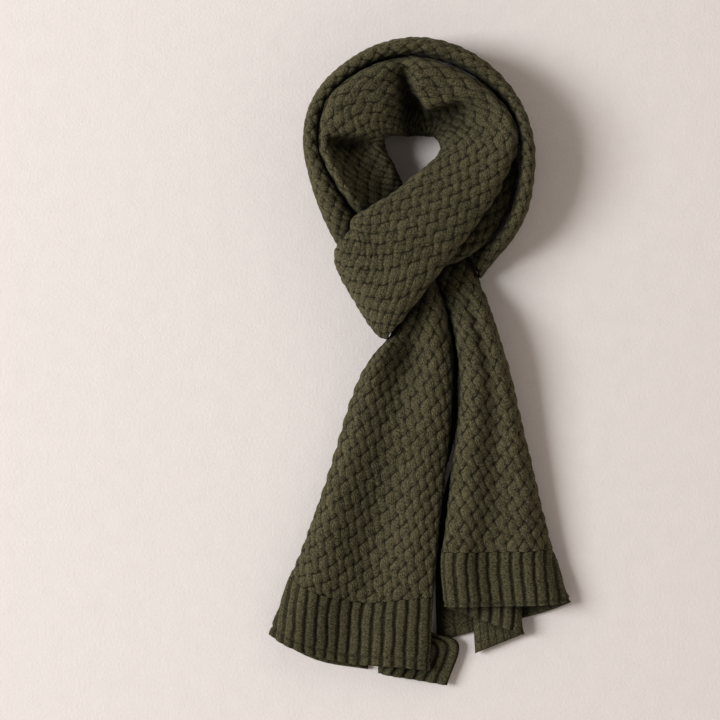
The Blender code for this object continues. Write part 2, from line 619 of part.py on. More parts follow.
KNOT_FROM, KNOT_TO = 23, 26  # the stations of the front loop between which the knot is full
knot_rows = evenly(front_loop.stations[KNOT_FROM], front_loop.stations[KNOT_TO], 9.0)
filling("layers_knot", front_loop, knot_rows, evenly(15.0, 54.0, 8.0), (0.0, 1.0), (LAID, LAID), 1.5 * GAP)
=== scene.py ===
"""Looks of the knit scarf: basket-weave wool folded lengthwise, doubled and looped with a slip knot."""

import math
from collections import namedtuple

import bpy
import numpy as np
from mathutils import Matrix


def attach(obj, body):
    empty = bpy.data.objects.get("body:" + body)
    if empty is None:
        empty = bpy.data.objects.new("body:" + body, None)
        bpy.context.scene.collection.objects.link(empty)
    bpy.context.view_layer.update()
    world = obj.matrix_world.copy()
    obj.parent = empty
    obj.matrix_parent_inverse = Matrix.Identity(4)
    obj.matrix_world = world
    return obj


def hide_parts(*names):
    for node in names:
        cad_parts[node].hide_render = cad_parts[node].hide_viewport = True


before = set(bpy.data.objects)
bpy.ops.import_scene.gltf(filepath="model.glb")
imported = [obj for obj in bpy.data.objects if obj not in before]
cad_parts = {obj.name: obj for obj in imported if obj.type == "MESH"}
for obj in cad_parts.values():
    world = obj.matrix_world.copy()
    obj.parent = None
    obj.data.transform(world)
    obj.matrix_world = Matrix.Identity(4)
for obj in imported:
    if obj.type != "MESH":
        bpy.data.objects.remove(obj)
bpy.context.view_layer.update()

# ---------------------------------------------------------------- left tail
# The longer tail, on the left: the strip is folded once lengthwise, with its fold on the left and its two
# free edges rolled under on the right. It is machine knitted from dark olive wool, in strands of stocking
# stitch that cross over and under each other like a basket.

MM = 0.001
WALL = 3.0  # thickness of the knit
GAP = 0.35  # clearance between pieces that touch
STEP = 0.9  # spacing of the points that show


def smooth(values, knots, at):
    """A curve through values, one for each knot, read at the given places."""
    values = np.asarray(values, float)
    steps = np.diff(knots).reshape((-1,) + (1,) * (values.ndim - 1))
    rates = np.diff(values, axis=0) / steps
    inner = (rates[:-1] * steps[1:] + rates[1:] * steps[:-1]) / (steps[:-1] + steps[1:])
    slopes = np.concatenate([rates[:1], inner, rates[-1:]])
    at = np.clip(at, knots[0], knots[-1])
    k = np.clip(np.searchsorted(knots, at, side="right") - 1, 0, len(knots) - 2)
    step = steps[k]
    t = ((at - knots[k]) / np.diff(knots)[k]).reshape(step.shape)
    return (
        values[k] * (1 + 2 * t) * (1 - t) ** 2
        + slopes[k] * step * t * (1 - t) ** 2
        + values[k + 1] * t * t * (3 - 2 * t)
        + slopes[k + 1] * step * t * t * (t - 1)
    )


def travelled(points):
    """Distance along a line of points, from its start."""
    return np.concatenate([[0], np.cumsum(np.linalg.norm(np.diff(points, axis=0), axis=1))])


class Stretch:
    """A stretch of cloth through sections, each a list of points across it, from its free lip, over the
    zero point, from which columns are measured, to the turn and on to the hidden end."""

    SAMPLES = 120

    def __init__(self, sections, zero, turn, columns_from, columns_to, facing, floor=0.0):
        self.sections = np.asarray(sections, float)
        self.zero, self.turn = zero, turn
        self.columns_from, self.columns_to = columns_from, columns_to
        self.facing, self.floor = facing, floor
        self.stations = travelled(self.sections[:, zero : turn + 1].mean(axis=1))
        self.length = self.stations[-1]

    def row(self, along, columns):
        controls = smooth(self.sections, self.stations, np.array([along]))[0]
        knots = travelled(controls) ** 0.8 + 1e-3 * np.arange(len(controls))
        samples = np.linspace(knots[0], knots[-1], self.SAMPLES)
        fine = smooth(controls, knots, samples)
        arc = travelled(fine)
        at_zero, at_turn = np.interp(knots[[self.zero, self.turn]], samples, arc)
        width = min(at_turn - at_zero, self.columns_to - 1.0)
        reach = np.interp(
            columns,
            [self.columns_from, 0.0, width, self.columns_to],
            [0.0, at_zero, at_zero + width, arc[-1]],
        )
        return np.stack([np.interp(reach, arc, fine[:, axis]) for axis in range(3)], axis=1)

    def points(self, rows, columns):
        found = np.stack([self.row(along, columns) for along in rows])
        found[..., 2] = np.maximum(found[..., 2], self.floor)
        return found


def faired(points, times):
    """The same grid with its small kinks evened out."""
    for _ in range(times):
        points[1:-1] = 0.5 * points[1:-1] + 0.25 * (points[:-2] + points[2:])
        points[:, 1:-1] = 0.5 * points[:, 1:-1] + 0.25 * (points[:, :-2] + points[:, 2:])
    return points


def normals_of(points, facing):
    along, across = np.gradient(points, axis=0), np.gradient(points, axis=1)
    normals = facing * np.cross(across, along)
    return normals / (np.linalg.norm(normals, axis=2, keepdims=True) + 1e-12)


DRIFT, DRIFT_WAVES = 0.8, 7  # how far the stitches stray from their even places
HEM_CREASE = 1.4  # half the width of the crease along a hem
HEM_DEPTH, HEM_RELIEF = 1.3, 0.4  # how deep it is, and the share of the relief left in it
FAIRING = 3  # rounds of evening out the kinks
CROWDED, EVEN = 0.1875, 0.8125  # the room a stitch has where it is crowded, and where it lies even
CROWDED_RELIEF, CROWDED_WALL = 0.25, 0.5  # shares of the relief and the wall left where it is crowded
RELIEF_LIFT = 0.2  # the relief stands a little proud of the middle of the cloth
TURNED_UNDER = 3.0  # how fast the relief ends where the cloth turns under
PLAIN_BELOW, ON_FLOOR = 0.3, 0.05  # heights below which it carries no relief, and lies on the floor
INNER_CLEAR = 0.02  # clearance between its inner side and the floor


def wander(u, v, seed):
    """A slow uneven drift between -1 and 1, as hand-handled knitting has."""
    dice = np.random.RandomState(seed)
    total = np.zeros(np.broadcast(u, v).shape)
    for _ in range(DRIFT_WAVES):
        turn, length, start = dice.uniform(0, 2 * np.pi), dice.uniform(9, 45), dice.uniform(0, 2 * np.pi)
        total += np.sin(2 * np.pi * (u * np.cos(turn) + v * np.sin(turn)) / length + start)
    return total / 4.5


Strand = namedtuple("Strand", "across along start half reach tilt")

STEEP_STRAND, SLANT_STRAND = (
    # one step: across, along; the crossing it starts on; half its width and length on top, in steps; tilt
    Strand(5.35, 11.0, 0, 0.47, 0.62, -0.5),
    Strand(5.6, -6.4, 1, 0.50, 0.70, 0.8),
)
STRAND_TOP, STRAND_FALL, STRAND_LOW = 1.2, 1.3, -1.6  # its top, its fall to the edges and the lowest it goes
STRAND_ROUND = 2.2  # how square its crossings are
STRANDS_AREA = STEEP_STRAND.across * SLANT_STRAND.along - STEEP_STRAND.along * SLANT_STRAND.across


def basket(u, v):
    """Height of the basket weave in millimetres: at each crossing, the strand on top hides the other."""
    steps_steep = (u * SLANT_STRAND.along - v * SLANT_STRAND.across) / STRANDS_AREA
    steps_slant = (v * STEEP_STRAND.across - u * STEEP_STRAND.along) / STRANDS_AREA
    heights = []
    for strand, along, across in (
        (STEEP_STRAND, steps_steep, steps_slant),
        (SLANT_STRAND, steps_slant, steps_steep),
    ):
        near = np.round(across)
        off = across - near
        on = np.mod(along + near + strand.start + 1, 2) - 1
        fall = np.abs(off / strand.half) ** STRAND_ROUND + np.abs(on / strand.reach) ** STRAND_ROUND
        heights.append(np.maximum(STRAND_TOP - STRAND_FALL * fall, STRAND_LOW) + strand.tilt * off)
    return np.maximum(*heights)


RIB_PITCH, RIB_RISE = 10.4, 1.9
RIB_SHARE, RIB_SLOPE = 0.74, 0.12  # parts of the pitch: both raised wales, and the slope beside them
WALE_SHARE, WALE_RISE = 0.34, 0.16  # a single wale: its part of the pitch, and how far it stands out


def rib(u, v):
    """Height of the two-by-two rib: two raised wales, then a groove."""
    phase = np.mod(u / RIB_PITCH, 1.0) - 0.5
    ridge = np.clip((RIB_SHARE / 2 - np.abs(phase)) / RIB_SLOPE, 0, 1)
    ridge = ridge * ridge * (3 - 2 * ridge)
    wales = WALE_RISE * np.cos(2 * np.pi * phase / WALE_SHARE) * ridge
    return RIB_RISE * (ridge - 0.45) + wales


def squares(grid):
    """The faces between the points of a grid."""
    corners = [grid[:-1, :-1], grid[1:, :-1], grid[1:, 1:], grid[:-1, 1:]]
    return np.stack(corners, axis=-1).reshape(-1, 4).tolist()


def cloth(name, stretch, rows, columns, relief, seed, lie=0.0, gauge=1.0, thickness=WALL, hem=0.0):
    """The knit as a closed sheet: its outer side carries the relief, turned by lie radians and drawn
    together along it by the gauge, and its inner side is plain. A hem is drawn in at that distance from its
    last row, where the stitches are cast off."""
    base = faired(stretch.points(rows, columns), FAIRING)
    normals = normals_of(base, stretch.facing)
    across = np.linalg.norm(np.gradient(base, axis=1), axis=2) / np.gradient(columns)
    along = np.linalg.norm(np.gradient(base, axis=0), axis=2) / np.gradient(rows)[:, None]
    eased = np.clip((np.minimum(across, along) - CROWDED) / (EVEN - CROWDED), 0, 1)
    facing_up = np.clip(normals[..., 2] * TURNED_UNDER + 0.5, 0, 1)
    facing_up = facing_up * np.clip(base[..., 2] - PLAIN_BELOW, 0, 1)
    on_top = normals[..., 2] > 0.3
    on_top[~on_top.any(axis=1)] = True
    spread = np.nanmedian(np.where(on_top, along, np.nan), axis=1)
    knitted = np.concatenate([[0], np.cumsum(0.5 * (spread[1:] + spread[:-1]) * np.diff(rows))])
    u = -stretch.facing * columns[None, :] + 0 * rows[:, None]
    v = knitted[:, None] * gauge + 0 * columns[None, :]
    u, v = u * np.cos(lie) + v * np.sin(lie), v * np.cos(lie) - u * np.sin(lie)
    u, v = u + DRIFT * wander(u, v, seed), v + DRIFT * wander(u, v, seed + 1)
    raised = (relief(u, v) + RELIEF_LIFT) * facing_up * (CROWDED_RELIEF + (1 - CROWDED_RELIEF) * eased)
    if hem:
        drawn_in = np.exp(-(((rows[-1] - rows[:, None] - hem) / HEM_CREASE) ** 2))
        raised = raised * (1 - (1 - HEM_RELIEF) * drawn_in) - HEM_DEPTH * drawn_in * facing_up
    outer = base + normals * raised[..., None]
    outer[..., 2] = np.maximum(outer[..., 2], 0.0)
    thin = thickness * (CROWDED_WALL + (1 - CROWDED_WALL) * eased[::2, ::2, None])
    inner = base[::2, ::2] - normals[::2, ::2] * thin
    on_floor = base[::2, ::2, 2] < ON_FLOOR
    inner[..., 2] = np.where(on_floor, thickness, np.maximum(inner[..., 2], INNER_CLEAR))
    down, wide = outer.shape[:2]
    out = np.arange(down * wide).reshape(down, wide)
    inn = out.size + np.arange(inner.shape[0] * inner.shape[1]).reshape(inner.shape[:2])
    faces = squares(out) + squares(inn[:, ::-1])
    for rim_out, rim_in in (
        (out[0], inn[0]),
        (out[-1, ::-1], inn[-1, ::-1]),
        (out[::-1, 0], inn[::-1, 0]),
        (out[:, -1], inn[:, -1]),
    ):
        ring = [rim_out[:-2:2], rim_out[1::2], rim_out[2::2], rim_in[1:], rim_in[:-1]]
        faces += np.stack(ring, axis=-1).tolist()
    points = np.concatenate([outer.reshape(-1, 3), inner.reshape(-1, 3)])
    places = np.stack([u, v], axis=-1)
    places = np.concatenate([places.reshape(-1, 2), places[::2, ::2].reshape(-1, 2)])
    return knitted_piece(name, points, faces, places)


def knitted_piece(name, points, faces, places):
    """A closed piece of cloth with its place on the flat knit, in millimetres, at every point."""
    points = points * MM
    mesh = bpy.data.meshes.new(name)
    mesh.from_pydata(points.tolist(), [], faces)
    corners = np.empty(len(mesh.loops), np.int32)
    mesh.loops.foreach_get("vertex_index", corners)
    mesh.uv_layers.new(name="cloth_mm").data.foreach_set("uv", places[corners].astype(np.float32).ravel())
    mesh.calc_loop_triangles()
    corners = np.empty(3 * len(mesh.loop_triangles), np.int32)
    mesh.loop_triangles.foreach_get("vertices", corners)
    if np.linalg.det(points[corners.reshape(-1, 3)]).sum() < 0:
        mesh.flip_normals()
    mesh.shade_smooth()
    piece = bpy.data.objects.new(name, mesh)
    bpy.context.scene.collection.objects.link(piece)
    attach(piece, "root")
    return piece


class Thread:
    """A value in a shader. Sums of threads and numbers add Math nodes."""

    def __init__(self, tree, socket=None):
        self.tree, self.socket = tree, socket

    def node(self, kind, settings, inputs, output=0):
        node = self.tree.nodes.new(kind)
        for key, value in settings.items():
            setattr(node, key, value)
        for key, value in inputs.items():
            if isinstance(value, Thread):
                self.tree.links.new(value.socket, node.inputs[key])
            else:
                node.inputs[key].default_value = value
        return Thread(self.tree, node.outputs[output])

    def maths(self, operation, *others):
        inputs = {k: value for k, value in enumerate((self, *others))}
        return self.node("ShaderNodeMath", {"operation": operation}, inputs)

    def __add__(self, other):
        return self.maths("ADD", other)

    __radd__ = __add__

    def __mul__(self, other):
        return self.maths("MULTIPLY", other)

    __rmul__ = __mul__

    def __sub__(self, other):
        return self.maths("SUBTRACT", other)

    def __rsub__(self, other):
        return self * -1.0 + other

    def clipped(self):
        return self.node("ShaderNodeClamp", {}, {"Value": self})


FOLD_SHADE_REACH = 0.05  # how far, in metres, the ambient occlusion looks for cloth round a fold, whose inside gets painted shade
FOLD_SHADE_TONE, CREVICE_SHADE_TONE = 0.04, 0.12  # what is left of the colour at the darkest of the painted fold shade and the painted crevice shade


def wool(name, dark, light, knit):
    """Matt, slightly hairy wool: knit gives the height and the stitches of its pattern, each from 0 to 1.
    The crevices, by that height, and the insides of folds are darkened with painted shade, and each fibre
    differs a little in colour."""
    material = bpy.data.materials.new(name)
    material.use_nodes = True
    tree = material.node_tree
    shader = tree.nodes["Principled BSDF"]
    shader.inputs["Roughness"].default_value = 0.95
    shader.inputs["Specular IOR Level"].default_value = 0.08
    shader.inputs["Sheen Weight"].default_value = 0.10
    shader.inputs["Sheen Roughness"].default_value = 0.6
    shader.inputs["Sheen Tint"].default_value = (0.55, 0.50, 0.33, 1.0)
    blank = Thread(tree)
    place = blank.node("ShaderNodeTexCoord", {}, {}, "Object")
    cloth_mm = blank.node("ShaderNodeUVMap", {"uv_map": "cloth_mm"}, {})
    u = blank.node("ShaderNodeSeparateXYZ", {}, {0: cloth_mm}, "X")
    v = blank.node("ShaderNodeSeparateXYZ", {}, {0: cloth_mm}, "Y")

    def noise(scale, detail):
        inputs = {"Vector": place, "Scale": scale, "Detail": detail}
        return blank.node("ShaderNodeTexNoise", {}, inputs, "Fac")

    fluff, flecks, patches = noise(1500.0, 3.0), noise(520.0, 2.0), noise(22.0, 2.0)
    height, stitches = knit(u, v)
    speckle = (flecks - 0.5) * 1.4 + (fluff - 0.5) * 2.1 + (patches - 0.5) * 0.35
    # Painted shade: the insides of folds are darkened where the ambient occlusion node finds cloth close
    # around.
    openness = blank.node("ShaderNodeAmbientOcclusion", {"samples": 8}, {"Distance": FOLD_SHADE_REACH}, "AO")
    painted_fold_shade = (openness * 2.6 - 1.15).clipped() * (1 - FOLD_SHADE_TONE) + FOLD_SHADE_TONE
    # Painted shade in the weave's crevices, darker where the pattern is low.
    painted_crevice_shade = height.clipped() * (1 - CREVICE_SHADE_TONE) + CREVICE_SHADE_TONE
    shade = painted_crevice_shade * (stitches * 0.26 + speckle + 0.32) * painted_fold_shade
    colour = blank.node(
        "ShaderNodeMix",
        {"data_type": "RGBA"},
        {"Factor": shade.clipped(), 6: (*dark, 1.0), 7: (*light, 1.0)},
        2,
    )
    tree.links.new(colour.socket, shader.inputs["Base Color"])
    relief = stitches * 0.7 + fluff * 0.6 + flecks * 0.6
    bump = blank.node("ShaderNodeBump", {}, {"Strength": 0.7, "Distance": 0.0007, "Height": relief})
    tree.links.new(bump.socket, shader.inputs["Normal"])
    return material


STITCH_PITCH = 2.4


def vees(along, across, pitch):
    """Columns of stocking stitch, each one unit wide: Vs that point along it, from 0 to 1."""
    wale = (across.maths("FRACT") - 0.5).maths("ABSOLUTE")
    phase = (along * (1.0 / pitch) + wale * 1.2).maths("FRACT")
    return (1.0 - (phase - 0.5).maths("ABSOLUTE") * 2.0) * (1.15 - wale * 1.1)


def basket_knit(u, v):
    """The same weave as basket, as shader maths, with two wales of stitches on each strand; its first value
    is the painted shade of the crevices, with a painted shadow line under each strand that slants."""
    steps_steep = u * (SLANT_STRAND.along / STRANDS_AREA) - v * (SLANT_STRAND.across / STRANDS_AREA)
    steps_slant = v * (STEEP_STRAND.across / STRANDS_AREA) - u * (STEEP_STRAND.along / STRANDS_AREA)
    heights, stitches = [], []
    for strand, along, across in (
        (STEEP_STRAND, steps_steep, steps_slant),
        (SLANT_STRAND, steps_slant, steps_steep),
    ):
        near = across.maths("ROUND")
        off = across - near
        on = ((along + near + (strand.start + 1)) * 0.5).maths("FRACT") * 2.0 - 1.0
        wide = (off * (1.0 / strand.half)).maths("ABSOLUTE").maths("POWER", STRAND_ROUND)
        long = (on * (1.0 / strand.reach)).maths("ABSOLUTE").maths("POWER", STRAND_ROUND)
        fall = ((wide + long) * -STRAND_FALL + STRAND_TOP).maths("MAXIMUM", STRAND_LOW)
        heights.append(fall + off * strand.tilt)
        stitches.append(vees(along * math.hypot(strand.across, strand.along), off * 2.0 + 0.5, STITCH_PITCH))
    steep_on_top = heights[0].maths("GREATER_THAN", heights[1])
    shown = stitches[0] * steep_on_top + stitches[1] * (1.0 - steep_on_top)
    block = u.node(
        "ShaderNodeCombineXYZ",
        {},
        {0: steps_steep.maths("ROUND"), 1: steps_slant.maths("ROUND"), 2: steep_on_top},
    )
    tone = u.node("ShaderNodeTexWhiteNoise", {"noise_dimensions": "3D"}, {"Vector": block})
    # Painted shade: dark where the weave is low, and a painted shadow line along the lower side of each
    # slanting strand.
    level = heights[0].maths("MAXIMUM", heights[1])
    beside = (1.0 - (heights[0] - heights[1]).maths("ABSOLUTE") * 1.3).clipped()
    under = (0.6 - off * 0.9).clipped()
    return (level * 1.1 + 0.55).clipped() - beside * under, shown + tone * 0.4


knit_wool = wool("knit_wool", (0.006, 0.006, 0.003), (0.119, 0.105, 0.057), basket_knit)

Tail = namedtuple(
    "Tail",
    "fold_x fold_y lip_x lip_y bow skew fold_top hollow_at hollow ridge lip_top lip_low base reach back",
)

LEFT_TAIL = (
    # fold side   lip side      bow  skew fold_top hollow: at, z ridge lip_top lip_low base reach back
    Tail(-20.0, 57.0, -1.0, 86.1, 0.0, 0.0, 19.0, 0.55, 20.0, 21.0, 19.5, 6.0, 4.8, 10, 0),
    Tail(-24.5, 38.5, 11.0, 71.0, 0.0, 0.0, 22.0, 0.55, 23.0, 25.0, 23.5, 6.0, 4.8, 4, 0),
    Tail(-25.2, 28.2, 16.0, 62.0, 0.0, 0.0, 25.0, 0.55, 26.0, 28.5, 27.0, 6.0, 4.8, 2, 0),
    Tail(-41.5, 7.0, 24.0, 42.0, 0.0, 0.0, 30.0, 0.50, 21.5, 30.0, 27.0, 6.5, 1.5, -2, 0),
    Tail(-50.5, -6.5, 29.0, 18.0, 0.0, 0.0, 26.0, 0.53, 14.5, 25.5, 23.0, 5.0, 0.0, -5, 0),
    Tail(-62.0, -33.5, 29.7, -20.0, 2.0, 0.0, 21.0, 0.52, 15.0, 25.0, 22.5, 5.0, 0.0, -5, 0),
    Tail(-73.0, -69.5, 27.4, -60.5, 4.0, 0.0, 19.5, 0.58, 14.5, 24.5, 21.5, 5.0, 0.0, -6, 0),
    Tail(-84.0, -105.5, 23.0, -98.0, 6.0, 1.0, 19.5, 0.56, 13.5, 24.0, 20.5, 5.0, 0.0, 0, 0),
    Tail(-96.5, -141.5, 18.5, -137.0, 10.0, 1.0, 20.0, 0.50, 12.5, 22.5, 19.5, 7.0, 0.0, 20, 0),
    Tail(-110.0, -177.5, 14.8, -180.0, 13.0, -2.0, 19.0, 0.47, 12.0, 20.5, 18.5, 9.4, 0.0, 48, 0),
    Tail(-117.0, -193.0, 12.0, -211.0, 15.0, -4.0, 17.0, 0.47, 12.5, 19.0, 17.5, 9.6, 0.0, 54, 0),
    Tail(-136.4, -245.5, 8.8, -277.5, 10.0, -3.5, 14.5, 0.50, 12.5, 17.0, 16.8, 9.0, 0.0, 54, 6),
)
LIP_TURN = 7.0
FOLD_TURN = 9.0
RIDGE_AT = 0.19  # place of the ridge along the lip, as a share of the tail's width


def tail_sections(table):
    sections = []
    for row in table:
        lip = np.array([row.lip_x, row.lip_y])
        side = np.array([row.fold_x, row.fold_y]) - lip
        width = np.linalg.norm(side)
        side = side / width
        down = np.array([side[1], -side[0]])
        down = down if down[1] < 0 else -down

        def at(across, height, drop=0.0):
            share = across / width
            sag = row.bow * 4 * share * (1 - share) + row.skew * np.sin(2 * np.pi * share) + drop
            return (*(lip + side * across + down * sag), height)

        rise = row.lip_top - row.lip_low
        sections.append(
            (
                at(2.0, row.lip_low),
                at(0.0, row.lip_low + 0.40 * rise),
                at(2.0, row.lip_low + 0.82 * rise),
                at(LIP_TURN, row.lip_top),
                at(max(RIDGE_AT * width, 2.0 * LIP_TURN), row.ridge),
                at(row.hollow_at * width, row.hollow),
                at(width - FOLD_TURN, row.fold_top),
                at(width, row.base + 0.45 * (row.fold_top - row.base)),
                at(width - 0.85 * FOLD_TURN, row.base + 0.06 * (row.fold_top - row.base), 0.1 * row.back),
                at(0.5 * (width + row.reach), row.base, 0.5 * row.back),
                at(row.reach, row.base, row.back),
            )
        )
    return sections


TAIL_ZERO, TAIL_TURN = 2, 7
LIP_COLUMNS = 18.0  # width of the cloth that is rolled in at the lip
PAST_FOLD, HIDDEN = 10.0, 110.0  # how far past the fold the cloth shows, and how far it runs
SEAM = 0.1  # clearance between a body and its border


def points_on(length, spacing=STEP):
    """How many evenly spaced points a length takes: an odd number, as every second one is also on the
    inner side."""
    return 2 * round(length / spacing / 2) + 1


def tail(table, border, width, facing):
    """A tail's stretch of cloth, the rows of its body and of its border, and the columns across it."""
    stretch = Stretch(tail_sections(table), TAIL_ZERO, TAIL_TURN, -LIP_COLUMNS, width + HIDDEN, facing)
    seam = stretch.stations[border]
    shown = np.linspace(-LIP_COLUMNS, width + PAST_FOLD, points_on(LIP_COLUMNS + width + PAST_FOLD))
    hidden = np.linspace(width + PAST_FOLD, width + HIDDEN, 21)[1:]
    body_rows = np.linspace(0.0, seam - SEAM / 2, points_on(seam))
    rib_rows = np.linspace(seam + SEAM / 2, stretch.length, points_on(stretch.length - seam))
    return stretch, body_rows, rib_rows, np.concatenate([shown, hidden])


left, left_body_rows, left_rib_rows, left_columns = tail(
    LEFT_TAIL, border=10, width=146.0, facing=1
)
tail_left = cloth("tail_left_knit", left, left_body_rows, left_columns, basket, seed=3, lie=0.16)
tail_left.data.materials.append(knit_wool)
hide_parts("tail_left")

# ---------------------------------------------------------------- left rib border
# The hem of the left tail: about 55 mm of two-by-two rib in the same wool, knitted on with the body, so it
# follows the body's fold and its free edge hangs open.


def rib_knit(u, v):
    """The same rib as shader maths: two wales of stitches on each raised ridge, and painted shade in the
    grooves.
    """
    phase = (u * (1.0 / RIB_PITCH)).maths("FRACT") - 0.5
    height = (0.46 - phase.maths("ABSOLUTE")) * 6.0 + 0.35
    return height, vees(v, phase * (2.0 / RIB_SHARE), STITCH_PITCH) + 0.25


rib_wool = wool("rib_wool", (0.006, 0.006, 0.003), (0.108, 0.096, 0.052), rib_knit)
rib_left = cloth("rib_left_knit", left, left_rib_rows, left_columns, rib, seed=5, hem=8.0)
rib_left.data.materials.append(rib_wool)
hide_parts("rib_left")

# ---------------------------------------------------------------- left leaf
# The far corner of the same border, folded back under the hem, so that two more layers of rib show below it.

Leaf = namedtuple("Leaf", "fold_x fold_y upper_x upper_y lower_x lower_y base height upper_z")

LEFT_LEAF = (
    # fold side     upper layer's end lower layer's end base height upper_z
    Leaf(-31.0, -206.0, 9.0, -213.0, 7.0, -213.0, 0.0, 9.2, 6.4),
    Leaf(-34.5, -240.0, 9.0, -243.0, 7.0, -243.0, 0.0, 9.0, 6.2),
    Leaf(-36.5, -262.0, 34.5, -252.5, 15.0, -266.0, 0.0, 8.8, 6.2),
    Leaf(-37.2, -281.5, 25.0, -292.5, 20.0, -290.0, 0.0, 8.6, 6.1),
)


def leaf_sections(table):
    sections = []
    for row in table:
        fold = np.array([row.fold_x, row.fold_y])
        upper = np.array([row.upper_x, row.upper_y]) - fold
        lower = np.array([row.lower_x, row.lower_y]) - fold

        def on(layer, share, height):
            return (*(fold + layer * share), height)

        top = row.base + row.height
        near = 5.0 / np.linalg.norm(upper)
        sections.append(
            (
                on(upper, 1.0, row.upper_z),
                on(upper, 0.5, 0.5 * (top + row.upper_z)),
                on(upper, near, top),
                on(upper, 0.0, row.base + 0.5 * row.height),
                on(lower, near, row.base),
                on(lower, 0.5, row.base),
                on(lower, 1.0, row.base),
            )
        )
    return sections


LEAF_WALL = 2.0
LEAF_SHOWN = 1.2  # how far round its fold a leaf shows, as a share of the upper layer's width


def leaf(name, table, width, facing, seed):
    """Two layers of rib joined by a fold. Columns run from the upper layer's free edge."""
    stretch = Stretch(leaf_sections(table), 0, 3, -1.0, 2 * width, facing, floor=table[0].base)
    shown = LEAF_SHOWN * width
    columns = np.linspace(-1.0, shown, points_on(shown))
    columns = np.concatenate([columns, np.linspace(shown, 2 * width, 9)[1:]])
    rows = np.linspace(0.0, stretch.length, points_on(stretch.length))
    piece = cloth(name, stretch, rows, columns, rib, seed, thickness=LEAF_WALL)
    piece.data.materials.append(rib_wool)
    return piece


left_leaf = leaf("rib_left_leaf_knit", LEFT_LEAF, width=64.0, facing=1, seed=7)
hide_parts("rib_left_leaf")

# ---------------------------------------------------------------- right tail
# The shorter tail, of the same basket weave, with its fold on the right and its free edges rolled under on
# the left. It comes out from under the band and lies on the floor beside the left tail.

RIGHT_TAIL = (
    Tail(43.0, 101.0, 12.0, 86.0, 0.0, 0.0, 13.0, 0.50, 13.0, 13.5, 13.0, 4.6, 0.0, 8, 0),
    Tail(53.6, 74.0, 17.5, 68.0, 0.0, 0.0, 19.5, 0.50, 19.5, 19.5, 18.0, 5.5, 0.0, 10, 0),
    Tail(62.0, 51.5, 24.8, 49.5, 0.0, 0.0, 28.0, 0.54, 24.0, 25.5, 23.0, 5.5, 0.0, 10, 0),
    Tail(72.0, 20.7, 32.5, 20.0, 0.0, 0.0, 31.0, 0.58, 26.8, 30.5, 27.5, 5.0, 0.0, 10, 0),
    Tail(82.8, -15.3, 36.5, -15.3, 0.0, 0.0, 28.5, 0.58, 25.5, 30.5, 28.0, 5.0, 0.0, 10, 0),
    Tail(91.0, -51.5, 35.0, -51.5, 0.0, 0.0, 25.5, 0.56, 21.0, 29.0, 26.5, 5.0, 0.0, 10, 0),
    Tail(100.0, -87.5, 30.3, -87.5, 0.0, 0.0, 22.5, 0.54, 19.0, 27.0, 24.5, 5.5, 0.0, 2, 0),
    Tail(108.5, -123.5, 26.2, -123.5, 0.0, 0.0, 20.0, 0.50, 17.0, 25.0, 22.5, 7.5, 0.0, -5, 0),
    Tail(117.5, -158.5, 21.5, -160.5, 1.0, 0.0, 17.5, 0.38, 16.8, 23.0, 21.5, 11.8, 0.0, -4, 0),
    Tail(120.5, -168.5, 19.8, -170.5, 1.0, 0.0, 16.5, 0.35, 16.8, 22.5, 21.0, 12.0, 0.0, -4, 0),
    Tail(137.0, -217.0, 22.0, -219.5, 1.0, 0.0, 15.0, 0.36, 17.6, 22.0, 21.0, 12.0, 0.0, -7, 34),
)

right, right_body_rows, right_rib_rows, right_columns = tail(
    RIGHT_TAIL, border=9, width=112.0, facing=-1
)
tail_right = cloth("tail_right_knit", right, right_body_rows, right_columns, basket, seed=11, lie=-0.10)
tail_right.data.materials.append(knit_wool)
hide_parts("tail_right")

# ---------------------------------------------------------------- right rib border and its pleat
# The right tail's hem, knitted on in the same two-by-two rib as the left one. Part of it is pleated back
# inside, between the front and back layers.

rib_right = cloth("rib_right_knit", right, right_rib_rows, right_columns, rib, seed=13, hem=3.0)
rib_right.data.materials.append(rib_wool)
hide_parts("rib_right")

RIGHT_PLEAT = (
    Leaf(88.0, -176.0, 24.5, -176.0, 46.0, -176.0, 3.4, 7.2, 9.1),
    Leaf(92.0, -219.0, 23.5, -219.5, 48.5, -228.0, 3.4, 7.2, 9.1),
    Leaf(94.5, -246.0, 24.5, -222.0, 50.5, -263.5, 3.4, 7.2, 9.1),
)

right_pleat = leaf("rib_right_pleat_knit", RIGHT_PLEAT, width=72.0, facing=-1, seed=17)
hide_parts("rib_right_pleat")

# ---------------------------------------------------------------- ring, outer stretch
# The outside of the neck ring: one stretch of the doubled strip, in basket weave like the tails. It stands
# on its fold and curves round, which draws its stitches together.

Arch = namedtuple("Arch", "outer_x outer_y crease_x crease_y top")

